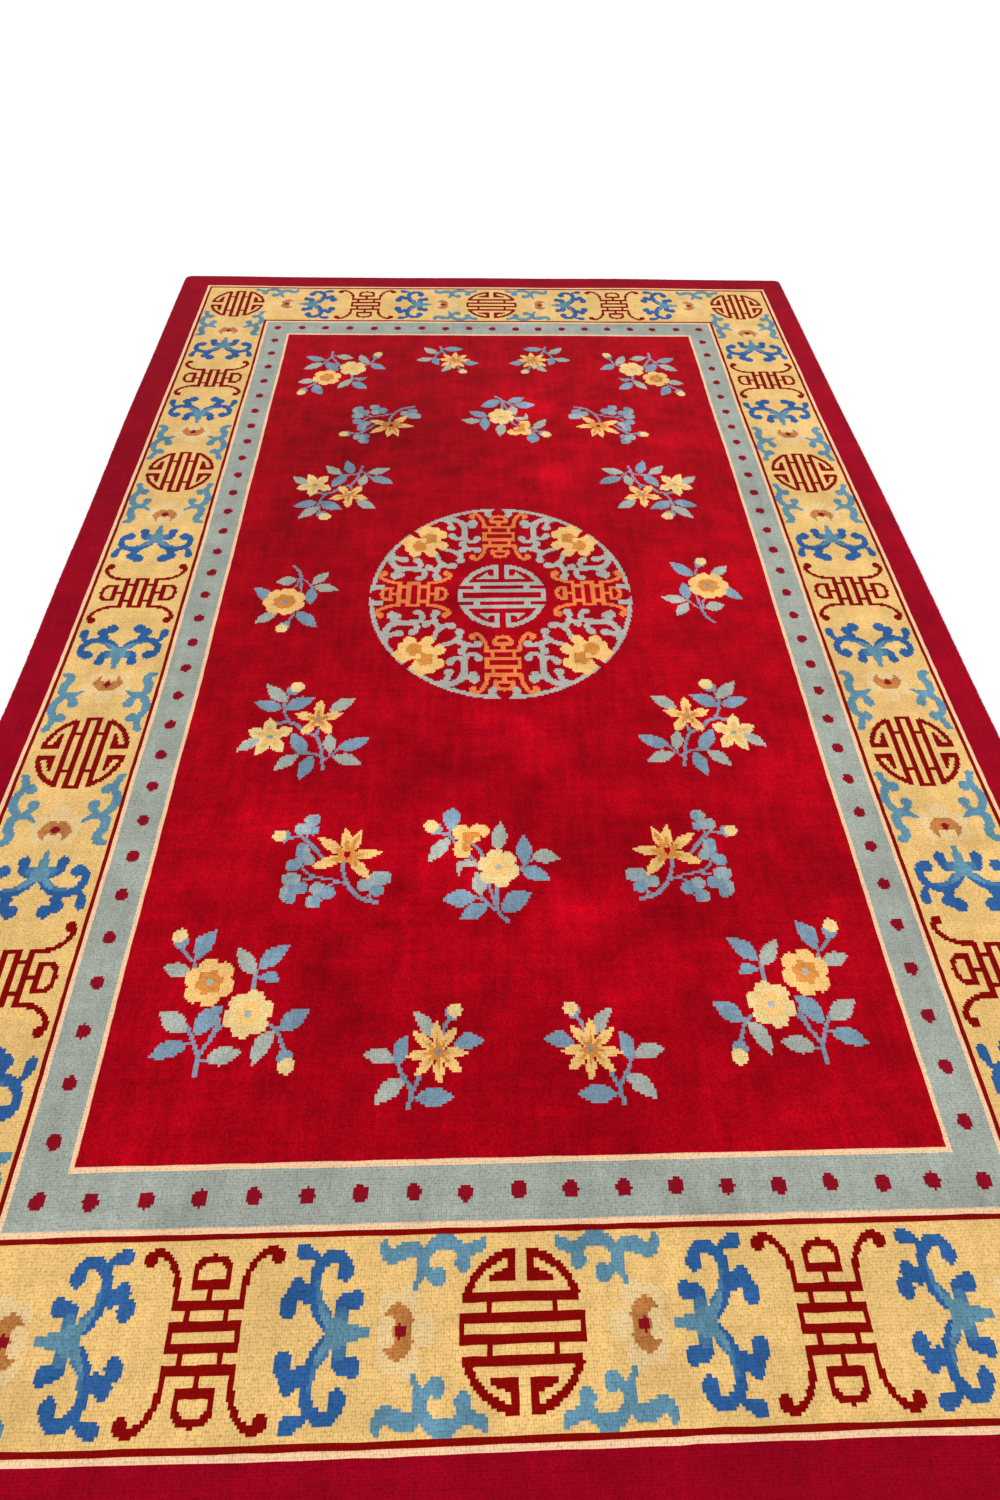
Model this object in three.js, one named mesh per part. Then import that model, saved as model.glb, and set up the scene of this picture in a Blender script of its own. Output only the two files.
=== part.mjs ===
// Tibetan rug, hand-knotted wool pile on a cotton foundation, lying flat on a floor.
// Units are millimetres. +X runs across the rug, +Y along its length, +Z up.
// The origin is the middle of the rug's box, on the floor.
import * as THREE from 'three';

// Driving dimensions
const KNOT = 3.25;                        // one knot, across and along
const LENGTH = 840 * KNOT;                // end to end
const THICKNESS = 12;                     // foundation and pile together
const CORNER_PULL = 4;                    // how far the worn corners draw in, each way

// The pile's surface rises and dips a little where the rug has been folded and walked on.
const SWELL = { height: 0.7, across: 640, along: 860, slant: 410 };

// The side edges, as distances from the medallion's axis. The left one flares at the far end.
const LEFT_EDGE = [
  { along: -LENGTH / 2, across: -919 },
  { along: -480, across: -918 },
  { along: -270, across: -915 },
  { along: 140, across: -922 },
  { along: 740, across: -933 },
  { along: LENGTH / 2, across: -939 },
];
const RIGHT_EDGE = [
  { along: -LENGTH / 2, across: 913 },
  { along: -290, across: 909 },
  { along: 300, across: 912 },
  { along: 740, across: 908 },
  { along: LENGTH / 2, across: 907 },
];

// The two ends, as distances past or short of the nominal length.
const NEAR_END = [
  { across: -940, past: -2 },
  { across: -260, past: 2 },
  { across: 380, past: -1 },
  { across: 920, past: 2 },
];
const FAR_END = [
  { across: -940, past: 2 },
  { across: -330, past: -1 },
  { across: 290, past: 2 },
  { across: 920, past: -2 },
];

// Section through the edge, from the floor up: the pile leans out and rolls over.
const EDGE_PROFILE = [
  { inset: 2.0, height: 0 },
  { inset: 0, height: 2.5 },
  { inset: 0.5, height: 7.5 },
  { inset: 3.0, height: 10.6 },
  { inset: 8.5, height: THICKNESS },
];

// Steps of the surface grid, and its first line inside the edge
const STEPS_ACROSS = 28;
const STEPS_ALONG = 40;
const FIRST_LINE = 14;

// A value from a short table, eased from one row to the next.
function eased(table, key, value, at) {
  const last = table.length - 1;
  if (at <= table[0][key]) return table[0][value];
  if (at >= table[last][key]) return table[last][value];
  const i = table.findIndex((row) => row[key] > at) - 1;
  const low = table[i];
  const high = table[i + 1];
  const t = THREE.MathUtils.smoothstep(at, low[key], high[key]);
  return THREE.MathUtils.lerp(low[value], high[value], t);
}

const leftAt = (y) => eased(LEFT_EDGE, 'along', 'across', y);
const rightAt = (y) => eased(RIGHT_EDGE, 'along', 'across', y);
const nearAt = (x) => -LENGTH / 2 - eased(NEAR_END, 'across', 'past', x);
const farAt = (x) => LENGTH / 2 + eased(FAR_END, 'across', 'past', x);

// Fractions of a span: even steps, with one more line close inside each edge.
function gridLines(steps, span) {
  const first = FIRST_LINE / span;
  const inner = Array.from({ length: steps - 1 }, (_, i) => first + ((1 - 2 * first) * i) / (steps - 2));
  return [0, ...inner, 1];
}

// A point of the outline's grid, before the edge is rounded.
function planPoint(u, v) {
  const roughY = THREE.MathUtils.lerp(-LENGTH / 2, LENGTH / 2, v);
  const x = THREE.MathUtils.lerp(leftAt(roughY), rightAt(roughY), u);
  const y = THREE.MathUtils.lerp(nearAt(x), farAt(x), v);
  return { x, y };
}

// Which way is outward at a grid line: -1 at its start, 1 at its end and 0 between.
const outward = (i, steps) => (i === 0 ? -1 : i === steps ? 1 : 0);

// The surface's small rise or dip at a place.
function swell(x, y) {
  const wave = (place, length) => Math.sin((2 * Math.PI * place) / length);
  const broad = wave(x, SWELL.across) * wave(y + SWELL.across / 3, SWELL.along);
  const cross = wave(x + 0.7 * y, SWELL.slant);
  return SWELL.height * (0.6 * broad + 0.4 * cross);
}

// The rug is one closed body: a top surface, rounded edges and a flat underside.
function rugGeometry() {
  const width = rightAt(0) - leftAt(0);
  const across = gridLines(STEPS_ACROSS, width);
  const along = gridLines(STEPS_ALONG, LENGTH);
  const nx = across.length - 1;
  const ny = along.length - 1;
  const points = [];
  const faces = [];

  // One vertex of the edge profile's row, or of the surface inside it.
  function addPoint(i, j, row) {
    const { x, y } = planPoint(across[i], along[j]);
    const sx = outward(i, nx);
    const sy = outward(j, ny);
    const pull = sx !== 0 && sy !== 0 ? CORNER_PULL : 0;
    const rise = (row.height * (THICKNESS + swell(x, y))) / THICKNESS;
    points.push(x - sx * (row.inset + pull), y - sy * (row.inset + pull), rise);
    return points.length / 3 - 1;
  }

  const surface = { inset: EDGE_PROFILE.at(-1).inset, height: THICKNESS };
  const top = across.map((_, i) => along.map((__, j) => addPoint(i, j, surface)));
  for (let i = 0; i < nx; i++) {
    for (let j = 0; j < ny; j++) {
      faces.push(top[i][j], top[i + 1][j], top[i + 1][j + 1]);
      faces.push(top[i][j], top[i + 1][j + 1], top[i][j + 1]);
    }
  }

  // The outline's grid places, once round, counter-clockwise from above.
  const ring = [];
  for (let i = 0; i < nx; i++) ring.push([i, 0]);
  for (let j = 0; j < ny; j++) ring.push([nx, j]);
  for (let i = nx; i > 0; i--) ring.push([i, ny]);
  for (let j = ny; j > 0; j--) ring.push([0, j]);

  const rows = EDGE_PROFILE.slice(0, -1).map((row) => ring.map(([i, j]) => addPoint(i, j, row)));
  rows.push(ring.map(([i, j]) => top[i][j]));
  for (let r = 0; r < rows.length - 1; r++) {
    for (let k = 0; k < ring.length; k++) {
      const next = (k + 1) % ring.length;
      faces.push(rows[r][k], rows[r][next], rows[r + 1][next]);
      faces.push(rows[r][k], rows[r + 1][next], rows[r + 1][k]);
    }
  }

  // The underside is flat on the floor.
  points.push(0, 0, 0);
  const middle = points.length / 3 - 1;
  for (let k = 0; k < ring.length; k++) {
    faces.push(middle, rows[0][(k + 1) % ring.length], rows[0][k]);
  }

  const geometry = new THREE.BufferGeometry();
  geometry.setAttribute('position', new THREE.Float32BufferAttribute(points, 3));
  geometry.setIndex(faces);
  geometry.computeVertexNormals();
  geometry.computeBoundingBox();
  return geometry;
}

const pile = new THREE.MeshStandardMaterial({ color: 0xa0152a, roughness: 0.95, metalness: 0 });
const rug = new THREE.Mesh(rugGeometry(), pile);
rug.name = 'rug';

// The box's middle becomes the origin, so the medallion sits a little to the right of it.
const box = rug.geometry.boundingBox;
rug.position.set(-(box.min.x + box.max.x) / 2, -(box.min.y + box.max.y) / 2, 0);

const group = new THREE.Group();
group.name = 'tibetan_rug';
group.add(rug);

export default group;
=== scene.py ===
import math

import bpy
import numpy as np
from mathutils import Matrix, Vector


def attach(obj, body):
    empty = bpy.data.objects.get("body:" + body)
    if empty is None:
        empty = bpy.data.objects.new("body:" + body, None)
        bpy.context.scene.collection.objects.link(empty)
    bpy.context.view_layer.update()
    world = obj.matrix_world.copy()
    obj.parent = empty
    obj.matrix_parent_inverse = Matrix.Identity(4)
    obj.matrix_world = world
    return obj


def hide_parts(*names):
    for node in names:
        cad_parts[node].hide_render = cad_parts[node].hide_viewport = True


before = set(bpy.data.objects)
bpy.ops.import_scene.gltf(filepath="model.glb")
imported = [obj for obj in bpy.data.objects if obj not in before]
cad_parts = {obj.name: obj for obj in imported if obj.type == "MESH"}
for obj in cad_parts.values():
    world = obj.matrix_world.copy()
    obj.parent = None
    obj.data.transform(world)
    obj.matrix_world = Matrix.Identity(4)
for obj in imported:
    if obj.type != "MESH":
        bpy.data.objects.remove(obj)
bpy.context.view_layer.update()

# Driving dimensions, in metres and in knots
KNOT = 0.00325
ROWS = 840
COLUMNS = 562
PILE_TOP = 0.012
FOUNDATION_TOP = 0.003

# Yarn colours, as seen in daylight: red, green, blue, and how strongly each knot's uneven dye, the fine
# streaks and the painted light and shade of the leaning pile show on it
YARNS = {
    "field": (0.635, 0.008, 0.075, 1),
    "edge": (0.565, 0.008, 0.105, 0.6),
    "cream_line": (0.93, 0.77, 0.61, 0.3),
    "line": (0.5, 0.025, 0.015, 0.4),
    "band": (0.885, 0.725, 0.455, 0.5),
    "halo": (0.885, 0.755, 0.54, 0.4),
    "guard": (0.612, 0.637, 0.598, 0.55),
    "dot": (0.525, 0.055, 0.12, 0.4),
    "aqua": (0.665, 0.665, 0.63, 0.55),
    "orange": (0.87, 0.48, 0.26, 0.7),
    "petal": (0.925, 0.735, 0.455, 0.6),
    "pale": (0.89, 0.77, 0.53, 0.55),
    "gold": (0.86, 0.69, 0.41, 0.6),
    "tan": (0.805, 0.52, 0.24, 0.8),
    "leaf": (0.475, 0.575, 0.645, 0.8),
    "stem": (0.49, 0.54, 0.61, 0.8),
    "sage": (0.64, 0.66, 0.62, 0.7),
    "deep": (0.18, 0.355, 0.57, 0.7),
    "sky": (0.365, 0.53, 0.61, 0.75),
    "mid": (0.27, 0.44, 0.58, 0.7),
    "brown": (0.72, 0.47, 0.245, 0.8),
    "mist": (0.575, 0.635, 0.645, 0.8),
}
YARN_NAMES = list(YARNS)

# The layout's bands from the edge inwards: yarn, and half widths across and along in knots
BANDS = (
    ("edge", COLUMNS / 2, ROWS / 2),
    ("cream_line", 261, 400),
    ("line", 259, 398),
    ("band", 257, 396),
    ("line", 200, 339),
    ("cream_line", 198, 337),
    ("guard", 196, 335),
    ("cream_line", 177, 316),
    ("field", 175, 314),
)

# Middle lines of the border and of the guard stripe, across and along, in knots
BAND_MIDDLE = (228.5, 367.5)
GUARD_MIDDLE = (186, 325.5)

# Where the border's ornaments stand along each side: a weaver's count is never quite even
LEFT_STATIONS = (-367.5, -239, -118, 2, 124.5, 246.5, 367.5)
RIGHT_STATIONS = (-367.5, -242.5, -122, 1, 123.5, 245, 367.5)
END_STATIONS = (-228.5, -114, 0, 114, 228.5)
REPEAT = 121.5

# The guard stripe's dots: even steps out from the middle, then wider ones to the corner
DOT_PITCH = 20
EVEN_DOTS = 10
DOTS_ALONG = 16
DOTS_ACROSS = 9
DOT_RADII = (3.1, 3.05)
DOT_STRAY = 0.4

# How round a leaf is towards its foot and towards its tip: less is rounder
LEAF_CURVES = (0.85, 1.1)

# The four ways to mirror a quarter's shapes: signs across and along
QUARTERS = ((1, 1), (1, -1), (-1, 1), (-1, -1))


class Pen:
    """Colours knots of the chart by shapes in a motif's own axes, u across and v along."""

    def __init__(self, chart, at=(0, 0), flip=(1, 1), turned=False, stretch=1.0):
        self.chart, self.at, self.flip = chart, at, flip
        self.turned, self.stretch = turned, stretch

    def mirrored(self, across, along=1):
        """This pen with its motif mirrored across or along, by signs."""
        if self.turned:
            across, along = along, across
        flip = (self.flip[0] * across, self.flip[1] * along)
        return Pen(self.chart, self.at, flip, self.turned, self.stretch)

    def on_chart(self, u, v):
        """Chart place of a motif's point."""
        v = v * self.stretch
        if self.turned:
            u, v = v, u
        return self.at[0] + self.flip[0] * u, self.at[1] + self.flip[1] * v

    def in_motif(self, x, y):
        """Motif's point of a chart place."""
        u = (x - self.at[0]) * self.flip[0]
        v = (y - self.at[1]) * self.flip[1]
        if self.turned:
            u, v = v, u
        return u, v / self.stretch

    def fill(self, yarn, low, high, inside):
        """Colours each knot between two corners where inside(u, v) holds."""
        middle = np.array((COLUMNS / 2, ROWS / 2))
        corners = np.array([self.on_chart(*low), self.on_chart(*high)])
        first = np.clip(np.floor(corners.min(0) + middle).astype(int), 0, (COLUMNS, ROWS))
        last = np.clip(np.ceil(corners.max(0) + middle).astype(int), 0, (COLUMNS, ROWS))
        x = np.arange(first[0], last[0]) + 0.5 - middle[0]
        y = np.arange(first[1], last[1]) + 0.5 - middle[1]
        u, v = self.in_motif(*np.meshgrid(x, y))
        window = self.chart[first[1]:last[1], first[0]:last[0]]
        window[inside(u, v)] = YARN_NAMES.index(yarn)

    def bar(self, yarn, u_low, u_high, v_low, v_high):
        """An upright rectangle, its sides given in either order."""
        u_low, u_high = sorted((u_low, u_high))
        v_low, v_high = sorted((v_low, v_high))

        def inside(u, v):
            return (u >= u_low) & (u < u_high) & (v >= v_low) & (v < v_high)

        self.fill(yarn, (u_low, v_low), (u_high, v_high), inside)

    def disc(self, yarn, u_mid, v_mid, radius, v_radius=None):
        """A round or oval spot."""
        v_radius = v_radius or radius

        def inside(u, v):
            return ((u - u_mid) / radius) ** 2 + ((v - v_mid) / v_radius) ** 2 <= 1

        self.fill(yarn, (u_mid - radius, v_mid - v_radius), (u_mid + radius, v_mid + v_radius), inside)

    def discs(self, yarn, *spots):
        """Spots: u, v, radius and, for an oval one, radius along."""
        for spot in spots:
            self.disc(yarn, *spot)

    def ring(self, yarn, outer, inner, where):
        """A circle's line round the motif's middle, kept where a condition holds."""

        def inside(u, v):
            return (np.hypot(u, v) <= outer) & (np.hypot(u, v) > inner) & where(u, v)

        self.fill(yarn, (-outer, -outer), (outer, outer), inside)

    def stroke(self, yarn, points, width=None):
        """A soft line through points: u, v and width, or u and v with one width."""
        places = np.array([(p[0], p[1], (p[2] if len(p) > 2 else width) / 2) for p in points], float)
        smooth = through(places)
        reach = smooth[:, 2].max()
        low, high = smooth[:, :2].min(0) - reach, smooth[:, :2].max(0) + reach
        self.fill(yarn, low, high, lambda u, v: near_line(u, v, smooth))

    def strokes(self, yarn, *lines):
        """Several soft lines."""
        for line in lines:
            self.stroke(yarn, line)

    def leaf(self, yarn, base, tip, width, bend=0.0, fullest=0.45):
        """A pointed leaf from base to tip, bowed sideways by bend."""
        base = np.array(base, float)
        along = np.array(tip, float) - base
        length = np.hypot(*along)
        along = along / length

        def inside(u, v):
            t = ((u - base[0]) * along[0] + (v - base[1]) * along[1]) / length
            side = (v - base[1]) * along[0] - (u - base[0]) * along[1]
            side = side - bend * 4 * t * (1 - t)
            power = math.log(0.5) / math.log(fullest)
            shape = np.sin(math.pi * np.clip(t, 0, 1) ** power) ** np.where(t < fullest, *LEAF_CURVES)
            return (np.abs(side) < width / 2 * shape) & (t > 0) & (t < 1)

        ends = np.array([base, tip])
        reach = width / 2 + abs(bend)
        self.fill(yarn, ends.min(0) - reach, ends.max(0) + reach, inside)

    def polygon(self, yarn, points):
        """A filled outline with straight sides."""
        corners = np.array(points, float)

        def inside(u, v):
            odd = np.zeros(u.shape, bool)
            for (u0, v0), (u1, v1) in zip(corners, np.roll(corners, 1, 0)):
                if v0 != v1:
                    crosses = (v0 > v) != (v1 > v)
                    odd ^= crosses & (u < (u1 - u0) * (v - v0) / (v1 - v0) + u0)
            return odd

        self.fill(yarn, corners.min(0), corners.max(0), inside)


def through(places, steps=6):
    """A smooth line through the given places, each with its half width."""
    if len(places) == 2:
        return places
    padded = np.vstack([2 * places[0] - places[1], places, 2 * places[-1] - places[-2]])
    t = np.linspace(0, 1, steps, endpoint=False)[:, None]
    line = []
    for a, b, c, d in zip(padded, padded[1:], padded[2:], padded[3:]):
        curve = 2 * b + (c - a) * t + (2 * a - 5 * b + 4 * c - d) * t**2 + (3 * b - a - 3 * c + d) * t**3
        line.append(curve / 2)
    return np.vstack([*line, places[-1:]])


def near_line(u, v, line):
    """Which knots lie within the line's half width."""
    hit = np.zeros(u.shape, bool)
    for (u0, v0, r0), (u1, v1, r1) in zip(line, line[1:]):
        du, dv = u1 - u0, v1 - v0
        t = np.clip(((u - u0) * du + (v - v0) * dv) / max(du * du + dv * dv, 1e-9), 0, 1)
        hit |= np.hypot(u - u0 - t * du, v - v0 - t * dv) <= r0 + t * (r1 - r0)
    return hit


def between(start, end, share):
    """The point a share of the way from start to end, or past it."""
    return start[0] + share * (end[0] - start[0]), start[1] + share * (end[1] - start[1])


def fret(pen, yarn, reach=25, half=13, line=2.0, upright=3.0, rung=7.0, curve=2.6, curl=11.0):
    """A long fret: a middle frame, two outer uprights with loops, and curling arms."""
    loop = [(14.5, 0.45 * half), (reach - 5, 0.45 * half), (reach - 2.8, 0.28 * half), (reach - 2.2, 0)]
    loop += [(u, -v) for u, v in loop[-2::-1]]
    horn = [(9.5, -1), (reach - 9, -0.6), (reach - 4, 0.15 * curl), (reach - 0.8, 0.46 * curl)]
    horn += [(reach, 0.75 * curl), (reach - 1.2, curl), (reach - 2.6, curl)]
    horn = [(u, half + v) for u, v in horn]
    for u in (-4.5, -10.5, 4.5 - upright, 10.5 - upright):
        pen.bar(yarn, u, u + upright, -half, half)
    for side in (-1, 1):
        pen.bar(yarn, -4.5, 4.5, side * half, side * (half - line))
        pen.bar(yarn, side * 10.5, side * 14, -line / 2, line / 2)
        pen.bar(yarn, side * 13.5, side * (13.5 + upright), -0.54 * half, 0.54 * half)
        for start, end in zip(loop, loop[1:]):
            pen.mirrored(side).stroke(yarn, [start, end], curve)
        for end in (-1, 1):
            pen.bar(yarn, side * 4.5, side * 8.5, end * rung - line / 2, end * rung + line / 2)
            pen.mirrored(side, end).stroke(yarn, horn, curve)
            pen.mirrored(side, end).disc(yarn, reach - 2.4, half + 0.97 * curl, 0.9 * curve)


def fret_roundel(pen, yarn, radius=24):
    """The border's roundel: a broken circle round a symmetrical lattice."""
    hook = [(13.5, 4), (18, 4), (15.5, 12), (13.5, 12)]
    for side in (-1, 1):
        pen.bar(yarn, side * 1.5, side * 4.5, 1 - radius, radius - 1)
        pen.bar(yarn, side * 7.5, side * 10.5, 2.5 - radius, radius - 2.5)
        for end in (-1, 1):
            pen.bar(yarn, side * 4.5, side * 8.5, end * 12 - 1, end * 12 + 1)
            pen.bar(yarn, 0, side * 4.5, end * (radius - 3), end * (radius - 1))
            pen.bar(yarn, side * 13.5, side * 23.5, end * 2, end * 5)
            pen.polygon(yarn, [(side * u, end * v) for u, v in hook])
            quarter = pen.mirrored(side, end)
            quarter.ring(yarn, radius, radius - 2.8, lambda u, v: (u > 9) & (v > 2.5))


def cloud_scroll(pen):
    """A pair of deep blue curls springing from a paler heart."""
    arm = [(1.5, 48, 4), (4.5, 44, 4), (9, 41, 4.2), (14.5, 40, 4.4)]
    arm += [(20, 42, 4.4), (22.6, 47, 4.4), (21, 51.5, 4.4), (17.5, 52.3, 4.6)]
    outer = [(19.5, 41.5, 3), (22.6, 39.5, 3), (24, 36, 4.5)]
    inner = [(4.5, 51, 5), (8, 52, 5.6), (9.4, 56.5, 5)]
    for side in (-1, 1):
        half = pen.mirrored(side)
        half.strokes("deep", arm, outer, inner)
        half.discs("deep", (18, 52, 3.3), (11.6, 37.5, 2.7, 3.4), (12.6, 33.6, 3.7, 3.4))
        half.discs("deep", (8.2, 31, 3.7, 3.5), (24.1, 34.8, 2.8, 3.2), (9.4, 56.8, 3))
        half.stroke("mid", [(5, 46.4, 3), (9.5, 42.8, 2.2), (15, 41.8, 1.8)])
        half.disc("mid", 5.2, 51.6, 2.4, 2.8)
    pen.disc("sky", 0, 50.4, 4.6, 3.8)
    pen.stroke("sky", [(0, 50, 8), (0, 54.5, 5.8), (0, 58, 4.2), (0, 61.4, 3.2)])
    for side in (-1, 1):
        pen.mirrored(side).stroke("sky", [(2, 48.4, 4), (5, 45, 2.6), (8, 43.2, 1.8)])


def small_flower(pen):
    """A brown flower with two raised petals round a red seed, in a pale halo."""
    pen.discs("halo", (-7, 71, 5), (7, 71, 5), (-9, 78, 4.5), (9, 78, 4.5), (0, 83, 5), (0, 74, 8))
    half = [(0, 71), (2.2, 72.6), (4, 71.6), (5, 67.8), (7.4, 71)]
    half += [(8.6, 73.4), (6.8, 76.6), (3.8, 79.6), (0, 78.8)]
    pen.polygon("brown", half + [(-u, v) for u, v in half[::-1]])
    pen.disc("dot", 0, 74.4, 2.1)


def edge_scroll(pen, sides):
    """The paler scroll that runs beside the small flower."""
    heel = (20, 82.4, 4)
    for side in sides:
        half = pen.mirrored(side)
        half.strokes(
            "sky",
            [(26.3, 66.8, 2.6), (23, 68, 4.8), (21.8, 71, 4.6), (24, 75.5, 5.4), (24, 80, 4.6), heel],
            [heel, (16.5, 82, 3.6), (12.5, 79.6, 2)],
            [(19, 83, 4), (16, 86, 4), (15.4, 88.5, 5)],
            [(21, 82.5, 4), (25.4, 87.5, 4.6), (26, 93, 4.6), (23.5, 97.5, 4.2), (20, 98.5, 4.6)],
            [(22.5, 98.5, 4), (24, 103, 4), (24.6, 106, 3.6), (27, 106.6, 2)],
        )
        half.discs("sky", (19.7, 98.3, 3.1), (15.4, 88.6, 3))


def border_run(chart, middle, stations, turned):
    """The ornaments of one border, fret and roundel in turn, with the scrolls between them."""
    outside = 1 if middle > 0 else -1
    corners = (stations[0], stations[-1])
    for index, v in enumerate(stations):
        pen = Pen(chart, (v, middle) if turned else (middle, v), turned=turned)
        if index % 2:
            fret(pen, "line")
            for sign in (-1, 1):
                other = stations[index + sign]
                half = pen.mirrored(1, sign)
                half.stretch = abs(other - v) / REPEAT
                cloud_scroll(half)
                small_flower(half)
                edge_scroll(half, (outside,) if turned and other in corners else (-1, 1))
        elif not (turned and v in corners):
            fret_roundel(pen, "line")


def guard_dots(chart, rng):
    """The red dots of the guard stripe, a little further apart towards the corners."""
    pen = Pen(chart)
    across, along = GUARD_MIDDLE
    widening = along - DOT_PITCH * EVEN_DOTS
    side_places = []
    for number in range(-DOTS_ALONG, DOTS_ALONG + 1):
        even = min(abs(number), EVEN_DOTS)
        wide = (abs(number) - even) * widening / (DOTS_ALONG - EVEN_DOTS)
        side_places.append(math.copysign(DOT_PITCH * even + wide, number))
    places = [(side * across, y) for side in (-1, 1) for y in side_places]
    inner = range(1 - DOTS_ACROSS, DOTS_ACROSS)
    places += [(across / DOTS_ACROSS * number, side * along) for side in (-1, 1) for number in inner]
    for x, y in places:
        shift = rng.uniform(-DOT_STRAY, DOT_STRAY, 2)
        pen.disc("dot", x + shift[0], y + shift[1], *DOT_RADII)


def medallion_scrolls(pen, yarn="aqua"):
    """One eighth of the medallion's scrollwork, between a fret and the diagonal."""
    pen.strokes(
        yarn,
        [(37, 72, 5), (31.5, 72, 4.4), (27, 69.6, 4.2), (24, 65.5, 4.6), (23.6, 59.5, 4), (23.6, 54, 4.6)],
        [(24.5, 66, 4.4), (21, 67, 4.4), (18, 68, 5)],
        [(23.6, 54.5, 4.4), (22, 50.6, 3.6), (18, 49.4, 3.4), (15.2, 51, 3.4)],
        [(23.8, 54, 4), (27.5, 52.4, 3.4), (31, 53.4, 3.6)],
        [(35, 72, 4.4), (33.4, 67.5, 3.6), (32.8, 64.6, 3.8)],
        [(38, 42.6, 3), (33, 41, 3), (28.5, 38.6, 3.6), (26.2, 35, 3.4), (26, 32, 3.8)],
        [(28.5, 38.6, 3.8), (25, 40.6, 4), (23.2, 43.6, 3.6), (24.8, 46.8, 3.8)],
        [(25, 40.6, 3.8), (20.8, 41.8, 3.6), (17.4, 42.6, 3.2), (15.4, 41.6, 3.6)],
        [(5, 81.6, 2.6), (7, 79.6, 4), (7, 76.8, 3.6)],
    )
    pen.discs(yarn, (17.6, 68.4, 3.3), (18.2, 64.8, 2.3), (15, 52.8, 2.5), (31.8, 55.2, 2.6))
    pen.discs(yarn, (32.6, 63.4, 2.8), (26.4, 31.4, 2.7), (15.2, 41.2, 2.7), (25, 47.2, 2.7))
    pen.disc(yarn, 6.9, 76.6, 2.3)


def peony(pen, seeds=5, seed_turn=1.26, seed_reach=3.4):
    """A twin bloom on the medallion's diagonal, its outline the same on both sides of it."""
    lobes = ((38.8, 45.8, 3.9), (39.2, 56.6, 4), (43.6, 60.4, 3.6), (49.2, 62.4, 3.7), (52.8, 58.6, 3.6))
    for u, v, radius in lobes + ((46, 52.6, 6.4), (49, 56, 5), (43, 48, 4.2)):
        pen.discs("petal", (u, v, radius), (v, u, radius))
    pen.disc("petal", 46, 46, 4)
    for u, v in ((46.8, 53), (53.4, 45.6)):
        pen.disc("gold", u, v, 5.6)
        pen.disc("tan", u, v, 4.4)
        for seed in range(seeds):
            turn = seed_turn * seed
            pen.disc("tan", u + seed_reach * math.cos(turn), v + seed_reach * math.sin(turn), 1.9)
    pen.discs("petal", (45.4, 45.4, 3.2), (51, 51, 2))
    pen.leaf("field", (62, 62), (52.2, 52.2), 4.6)
    pen.leaf("field", (39.4, 39.4), (43.6, 43.6), 2.8)


def centre_roundel(pen, yarn="aqua", radius=28):
    """The medallion's heart: a broken circle round bars and four little feet."""
    pen.ring(yarn, radius, radius - 3.4, lambda u, v: (np.abs(u) > 1.9) & (np.abs(v) > 9))
    foot = [(2, 15), (15.5, 15), (9.5, 20.8), (8, 17.7), (2, 17.7)]

    def chord(u, v):
        return (np.hypot(u, v) < radius) & (v > 8.5) & (v < 12)

    for end in (-1, 1):
        pen.mirrored(1, end).fill(yarn, (-radius, -radius), (radius, radius), chord)
        pen.bar(yarn, -radius, radius, end * 2.5, end * 5.5)
        for side in (-1, 1):
            pen.bar(yarn, side * 14, side * 18, end * 5.5, end * 9)
            pen.bar(yarn, side * (radius - 3), side * radius, 0, end * 5.5)
            pen.bar(yarn, side * 2, side * 5, end * 15, end * 26)
            pen.polygon(yarn, [(side * u, end * v) for u, v in foot])


def medallion(chart, outer=83.5, inner=80.8, gap=2):
    """The round medallion: a ring, frets at its poles, peonies on its diagonals, scrolls between."""
    middle = (0.5, -1)

    def unbroken(u, v):
        """Away from the ring's four gaps, whose ends are cut aslant."""
        off_axis = np.minimum(np.abs(u), np.abs(v))
        return (off_axis > gap) & (np.hypot(u, v) > outer - off_axis / 3)

    Pen(chart, middle).ring("aqua", outer, inner, unbroken)
    for turned in (False, True):
        for flip in QUARTERS:
            medallion_scrolls(Pen(chart, middle, flip, turned))
    for flip in QUARTERS:
        peony(Pen(chart, middle, flip))
    for place, turned in (((0.5, 54), True), ((0.5, -57), True), ((-55, 0), False), ((56.5, 0), False)):
        pen = Pen(chart, place, turned=turned)
        fret(pen, "orange", reach=22.6, half=11, line=2.5, upright=2.5, rung=6.5, curve=2.5, curl=7.6)
    centre_roundel(Pen(chart, (1, -1.5)))


# Stems are drawn a little thinner, and leaves a little fuller, than their listed widths
STEM_SHARE = 0.8
LEAF_SHARE = 1.08


def stems(pen, *lines, width=2):
    """Thin stems through the given points."""
    for line in lines:
        pen.stroke("stem", [(*p[:2], STEM_SHARE * (p[2] if len(p) > 2 else width)) for p in line])


def leaves(pen, yarn, *rows):
    """Pointed leaves of one yarn: foot u and v, tip u and v, width, sideways bow."""
    for foot_u, foot_v, tip_u, tip_v, width, bow in rows:
        pen.leaf(yarn, (foot_u, foot_v), (tip_u, tip_v), width * LEAF_SHARE, bow)


def star(pen, middle, tips, width, blush):
    """A bloom of pointed petals, tan towards its grey eye where it blushes."""
    petals, heart = ("petal", "tan") if blush else ("pale", "gold")
    for tip in tips:
        pen.leaf(petals, middle, tip, width, fullest=0.56)
    pen.disc(petals, *middle, width * 0.8)
    layers = (("gold", 0.66, 0.5), ("tan", 0.48, 0.4))
    for yarn, share, wide in layers if blush else layers[:1]:
        for tip in tips:
            pen.leaf(yarn, middle, between(middle, tip, share), width * wide, fullest=0.5)
    pen.disc(heart, *middle, width * 0.4)
    pen.disc("stem", *middle, 1.2)


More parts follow.
